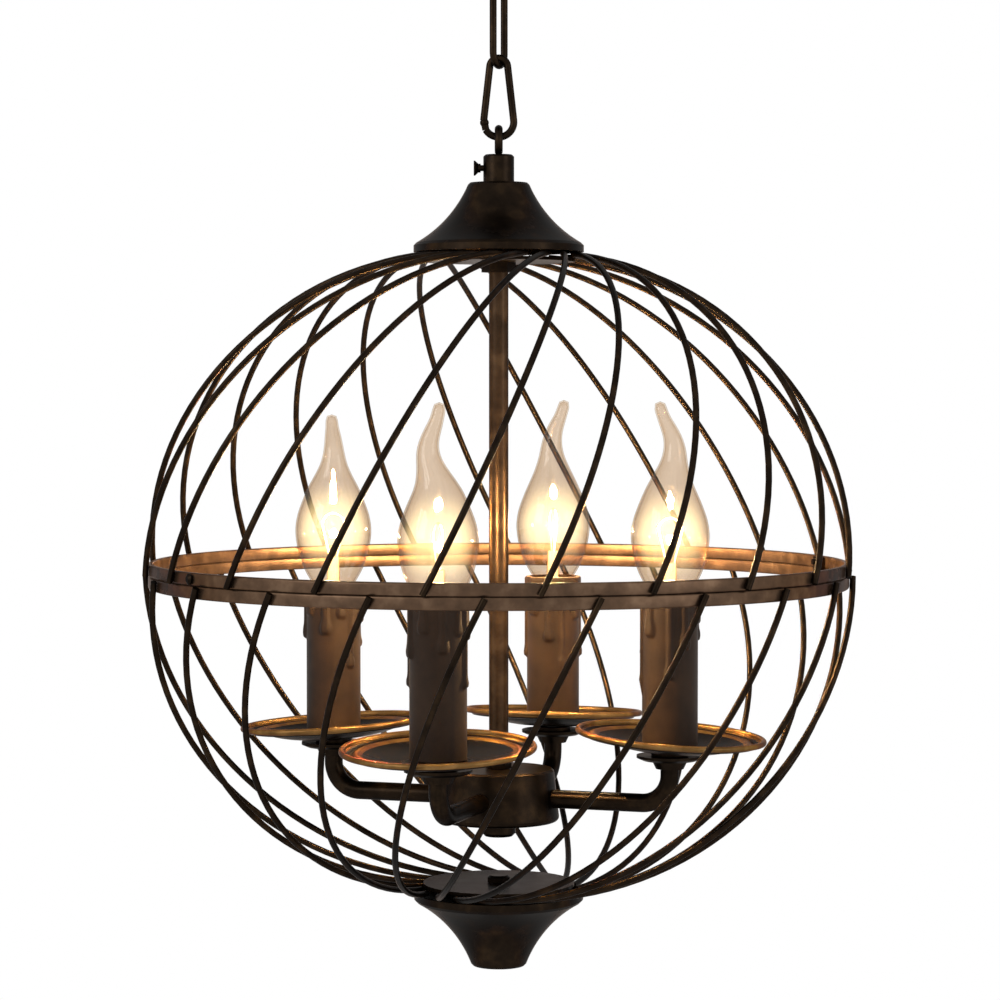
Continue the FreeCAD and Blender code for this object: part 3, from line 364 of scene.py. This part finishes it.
def smoothed(points, gap):
    """Points every gap mm along a Catmull-Rom curve through (radius, height) points."""
    ends = [points[0], *points, points[-1]]
    made = []
    for a, b, c, d in zip(ends, ends[1:], ends[2:], ends[3:]):
        count = max(1, round(math.dist(b, c) / gap))
        for i in range(count):
            t = i / count
            made.append(tuple(0.5 * (2 * q + (r - p) * t + (2 * p - 5 * q + 4 * r - s) * t * t
                                     + (3 * q - p - 3 * r + s) * t ** 3)
                              for p, q, r, s in zip(a, b, c, d)))
    return [*made, points[-1]]


def arc(radius, height, size, start, end, count):
    """Points of (radius, height) along an arc of that size, angles in degrees."""
    angles = [math.radians(start + (end - start) * i / count) for i in range(count + 1)]
    return [(radius + size * math.cos(a), height + size * math.sin(a)) for a in angles]


def wax(angle, depth, radius):
    """Height in mm of the moulded wax at an angle and a depth below the sleeve's mouth."""
    # a thin wavy collar under the rim, and then the thickest of the runs there
    most = 0.7 * (1 - ramp(depth, 2.5, 5.5 + 1.5 * math.sin(3 * math.radians(angle))))
    for middle, length, half, thick in RUNS:
        side = math.radians((angle - middle + 180) % 360 - 180) * radius
        # each run is narrow and thin down to the drop at its end
        drop = math.exp(-((depth - length + half) / (1.1 * half)) ** 2)
        width = half * (0.62 + 0.38 * drop)
        across = 1 - ramp(abs(side), 0.45 * width, width)
        along = 1 - ramp(depth, length - 0.9, length + 0.5)
        most = max(most, thick * across * along * (0.72 + 0.28 * drop))
    return most


def candle_sleeve(number):
    """A sleeve with wax runs, over the CAD tube of the same place and size."""
    low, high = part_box(f"candle_sleeve_{number}")
    radius = (high.x - low.x) / 2 / MM
    foot, mouth = low.z / MM, high.z / MM - SLEEVE_TRIM
    heights = [mouth, *(mouth - 0.25 - WAX_STEP * i for i in range(WAX_RINGS))]
    heights += [foot + (heights[-1] - foot) * f for f in (0.75, 0.5, 0.25, 0.02, 0)]
    bm = spun([(radius - SLEEVE_INSET, h) for h in heights], 128)
    for vert in bm.verts:
        angle = math.degrees(math.atan2(vert.co.y, vert.co.x)) - SLEEVE_TURNS[number]
        depth = mouth - vert.co.z / MM
        out = wax(angle % 360, depth, radius) * ramp(depth, -0.3, 0.6)
        vert.co.xy *= (radius + out) / radius
    bmesh.ops.solidify(bm, geom=bm.faces[:], thickness=-SLEEVE_WALL * MM)
    bmesh.ops.translate(bm, verts=bm.verts,
                        vec=((low.x + high.x) / 2, (low.y + high.y) / 2, 0))
    return piece(f"wax_sleeve_{number}", bm, "candle_moulding", "lamp",
                 f"candle_sleeve_{number}")


def bulb_glass(number):
    """Thin blown glass with a bent tail."""
    low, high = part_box(f"candle_sleeve_{number}")
    way, lean, end, length = TAILS[number]
    squeeze = (length - GLASS_SHOULDER) / (GLASS_LENGTH - GLASS_SHOULDER)
    outline = [(r, h if h < GLASS_SHOULDER else GLASS_SHOULDER + (h - GLASS_SHOULDER) * squeeze)
               for r, h in BLOWN]
    bm = spun([(max(r, 0), h) for r, h in smoothed(outline, 2.0)], 48)
    for vert in bm.verts:
        t = ramp(vert.co.z / MM, TAIL_START, length)
        shift = (lean * math.sin(math.pi * t) + end * t ** 4) * MM
        vert.co.x += shift * math.cos(math.radians(way))
        vert.co.y += shift * math.sin(math.radians(way))
    bmesh.ops.recalc_face_normals(bm, faces=bm.faces)
    bmesh.ops.solidify(bm, geom=bm.faces[:], thickness=-GLASS_WALL * MM)
    bmesh.ops.translate(bm, verts=bm.verts,
                        vec=((low.x + high.x) / 2, (low.y + high.y) / 2, high.z))
    return piece(f"blown_glass_{number}", bm, "clear_glass", f"bulb_{number}",
                 f"bulb_glass_{number}")


def band(name, foot, top):
    """A flat bar bent to a ring between two heights, its edges rounded."""
    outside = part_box(name)[1].x / MM
    outer, inner = outside - BAND_OUTER_EDGE, outside - BAND_WIDTH + BAND_INNER_EDGE
    points = (arc(outer, foot + BAND_OUTER_EDGE, BAND_OUTER_EDGE, -90, 0, 5)
              + arc(outer, top - BAND_OUTER_EDGE, BAND_OUTER_EDGE, 0, 90, 5)
              + arc(inner, top - BAND_INNER_EDGE, BAND_INNER_EDGE, 90, 180, 3)
              + arc(inner, foot + BAND_INNER_EDGE, BAND_INNER_EDGE, 180, 270, 3))
    made = piece(f"bent_{name}", spun(points, 288, closed=True), "bronze_coat", "lamp", name)
    # the paler brown is painted light: the bands are drawn lit by the light that falls on them
    made.data.materials[0] = BAND_PAINTED_LIGHT_BRONZE
    return made


def drip_pan(number):
    """A spun pan: flat middle, hollow bowl, raised ridge, groove and rolled rim, tilted
    outwards."""
    low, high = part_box(f"candle_sleeve_{number}")
    middle = Vector(((low.x + high.x) / 2, (low.y + high.y) / 2, 0))
    floor = (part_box(f"drip_pan_{number}")[0].z
             + PAN_SEAT * MM * math.sin(math.radians(PAN_TILT)))
    dish = smoothed(DISH, 1.2)
    under = [(r - 0.25, h - PAN_WALL) for r, h in reversed(dish)]
    points = ([(PAN_HOLE, PAN_WALL)] + [(r, h + PAN_WALL) for r, h in dish]
              + arc(*ROLLED_RIM, 200, -70, 12)
              + [(r, h + PAN_WALL) for r, h in under] + [(PAN_HOLE, 0.0)])
    bm = spun(points, 96, closed=True)
    for face in bm.faces:
        out = face.calc_center_median().xy.length / MM
        # the rim and the ridge take the old gold, a painted highlight of the bulbs' warm light
        face.material_index = int(out > PAN_RIM or PAN_RIDGE[0] < out < PAN_RIDGE[1])
    turn = (Matrix.Rotation(math.atan2(middle.y, middle.x), 4, "Z")
            @ Matrix.Rotation(math.radians(PAN_TILT), 4, "Y"))
    bmesh.ops.transform(bm, matrix=turn, verts=bm.verts)
    bmesh.ops.translate(bm, verts=bm.verts, vec=middle + Vector((0, 0, floor)))
    made = piece(f"spun_pan_{number}", bm, "bronze_coat", "lamp", f"drip_pan_{number}")
    made.data.materials.append(PAN_PAINTED_HIGHLIGHT_GOLD)
    return made


def half_turn(bm, geom, height):
    """Bends the link's wire through half a circle about a height, and gives its end's edges."""
    end = bmesh.ops.spin(bm, geom=geom, axis=(0, -1, 0), cent=(0, 0, height), dvec=(0, 0, 0),
                         angle=math.pi, steps=20)["geom_last"]
    return [e for e in end if isinstance(e, bmesh.types.BMEdge)]


def wire_link():
    """The welded chain link, hung slightly turned so that both of its sides show."""
    low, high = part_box("chain_link")
    wire = (high.x - low.x) / 2
    bend = (high.y - low.y) / 2 - wire
    top, foot = high.z - wire - bend, low.z + wire + bend
    bm = bmesh.new()
    made = bmesh.ops.create_circle(bm, segments=20, radius=wire)
    bmesh.ops.translate(bm, verts=made["verts"], vec=(bend, 0, top))
    first = list({edge for vert in made["verts"] for edge in vert.link_edges})
    half = half_turn(bm, made["verts"] + first, top)
    side = bmesh.ops.extrude_edge_only(bm, edges=half)["geom"]
    verts = [v for v in side if isinstance(v, bmesh.types.BMVert)]
    bmesh.ops.translate(bm, verts=verts, vec=(0, 0, foot - top))
    edges = [e for e in side if isinstance(e, bmesh.types.BMEdge)]
    last = half_turn(bm, verts + edges, foot)
    bmesh.ops.bridge_loops(bm, edges=first + last)
    bmesh.ops.recalc_face_normals(bm, faces=bm.faces)
    centre = (low + high) / 2
    bmesh.ops.rotate(bm, cent=(0, 0, 0), verts=bm.verts,
                     matrix=Matrix.Rotation(math.radians(90 - LINK_TWIST), 3, "Z"))
    bmesh.ops.translate(bm, verts=bm.verts, vec=(centre.x, centre.y, 0))
    return piece("welded_chain_link", bm, "bronze_coat", "link", "chain_link")


band("upper_band", RING, RING + BAND_HEIGHT + BAND_EXTRA)
band("lower_band", RING - BAND_HEIGHT - BAND_EXTRA, RING)
wire_link()
for number in BULBS:
    candle_sleeve(number)
    bulb_glass(number)
    drip_pan(number)


# ---------------------------------------------------------------- light, backdrop and camera

LAMP_MIDDLE = (0, 0, -0.32)     # metres, as are the places of the lights and the camera
BULB_POWER = 1.55               # watts
FILAMENT_SIZE = 2.5             # radius of the shining spot in mm
ROOM_LIGHT = 0.34               # strength of the room's light on matt surfaces
FLOOR_DROP = 0.9                # the floor lies this far below the lamp
CAMERA_BACK, CAMERA_RISE = 1.535, 0.0949    # from the lamp's axis and from the ring
CAMERA_DOWN = 2.19              # degrees below level


def warm_lamp(number):
    """The light of one bulb, which moves with it."""
    low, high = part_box(f"candle_sleeve_{number}")
    light = bpy.data.lights.new(f"bulb_light_{number}", "POINT")
    light.energy = BULB_POWER
    light.color = colour("#FFE2B0")[:3]
    light.shadow_soft_size = FILAMENT_SIZE * MM
    made = bpy.data.objects.new(light.name, light)
    made.location = ((low.x + high.x) / 2, (low.y + high.y) / 2, HEART)
    bpy.context.scene.collection.objects.link(made)
    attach(made, f"bulb_{number}")


def soft_box(name, place, size, energy):
    """A square studio light aimed at the lamp."""
    light = bpy.data.lights.new(name, "AREA")
    light.size = size
    light.energy = energy
    made = bpy.data.objects.new(name, light)
    made.location = place
    aim = Vector(LAMP_MIDDLE) - Vector(place)
    made.rotation_euler = aim.to_track_quat("-Z", "Y").to_euler()
    bpy.context.scene.collection.objects.link(made)


def white_room():
    """Soft white surroundings: full white to the camera, to gloss and through glass."""
    world = bpy.data.worlds.new("white_room")
    world.use_nodes = True
    tree = world.node_tree
    tree.nodes.clear()
    ray = add(tree, "ShaderNodeLightPath")
    seen = add(tree, "ShaderNodeMath", {"operation": "MAXIMUM"},
               {0: ray.outputs["Is Camera Ray"], 1: ray.outputs["Is Transmission Ray"]})
    shown = add(tree, "ShaderNodeMath", {"operation": "MAXIMUM"},
                {0: seen.outputs["Value"], 1: ray.outputs["Is Glossy Ray"]})
    level = add(tree, "ShaderNodeMapRange", {"To Min": ROOM_LIGHT, "To Max": 1.0},
                {"Value": shown.outputs["Value"]})
    light = add(tree, "ShaderNodeBackground", {"Color": (1, 1, 1, 1)},
                {"Strength": level.outputs["Result"]})
    out = add(tree, "ShaderNodeOutputWorld", links={"Surface": light.outputs["Background"]})
    out.is_active_output = True
    bpy.context.scene.world = world


def pale_floor():
    """A plain pale matt floor well below the lamp, lifted towards white except to the light that
    bounces off it."""
    bm = bmesh.new()
    bmesh.ops.create_circle(bm, cap_ends=True, segments=96, radius=2.6)
    bmesh.ops.translate(bm, verts=bm.verts, vec=(0, 0, cad_box[0].z - FLOOR_DROP))
    mesh = bpy.data.meshes.new("pale_floor")
    bm.to_mesh(mesh)
    bm.free()
    made = bpy.data.objects.new("pale_floor", mesh)
    bpy.context.scene.collection.objects.link(made)
    finish, tree = finish_named("pale_floor")
    ray = add(tree, "ShaderNodeLightPath")
    matt = add(tree, "ShaderNodeBsdfDiffuse", {"Color": colour("#F2F2F0")})
    white = add(tree, "ShaderNodeEmission", {"Strength": 0.55})
    lifted = add(tree, "ShaderNodeAddShader",
                 links={0: matt.outputs["BSDF"], 1: white.outputs["Emission"]})
    both = add(tree, "ShaderNodeMixShader",
               links={0: ray.outputs["Is Diffuse Ray"], 1: lifted.outputs["Shader"],
                      2: matt.outputs["BSDF"]})
    add(tree, "ShaderNodeOutputMaterial", links={"Surface": both.outputs["Shader"]})
    mesh.materials.append(finish)


for number in BULBS:
    warm_lamp(number)
soft_box("left_soft_box", (-1.7, -1.3, 0.5), size=1.2, energy=14)
soft_box("right_soft_box", (1.6, -1.1, 0.0), size=1.0, energy=5)
white_room()
pale_floor()

# the camera stands a little above the ring, and was fitted to the ring and the ball's outline
camera = bpy.data.objects.new("camera", bpy.data.cameras.new("camera"))
bpy.context.scene.collection.objects.link(camera)
camera.location = (0, -CAMERA_BACK, RING * MM + CAMERA_RISE)
camera.rotation_euler = (math.radians(90 - CAMERA_DOWN), 0, 0)
camera.data.sensor_width = 36
camera.data.lens = 111.84
camera.data.shift_x = 0.0013
camera.data.clip_end = 20
bpy.context.scene.camera = camera
bpy.context.scene.view_settings.view_transform = "Standard"
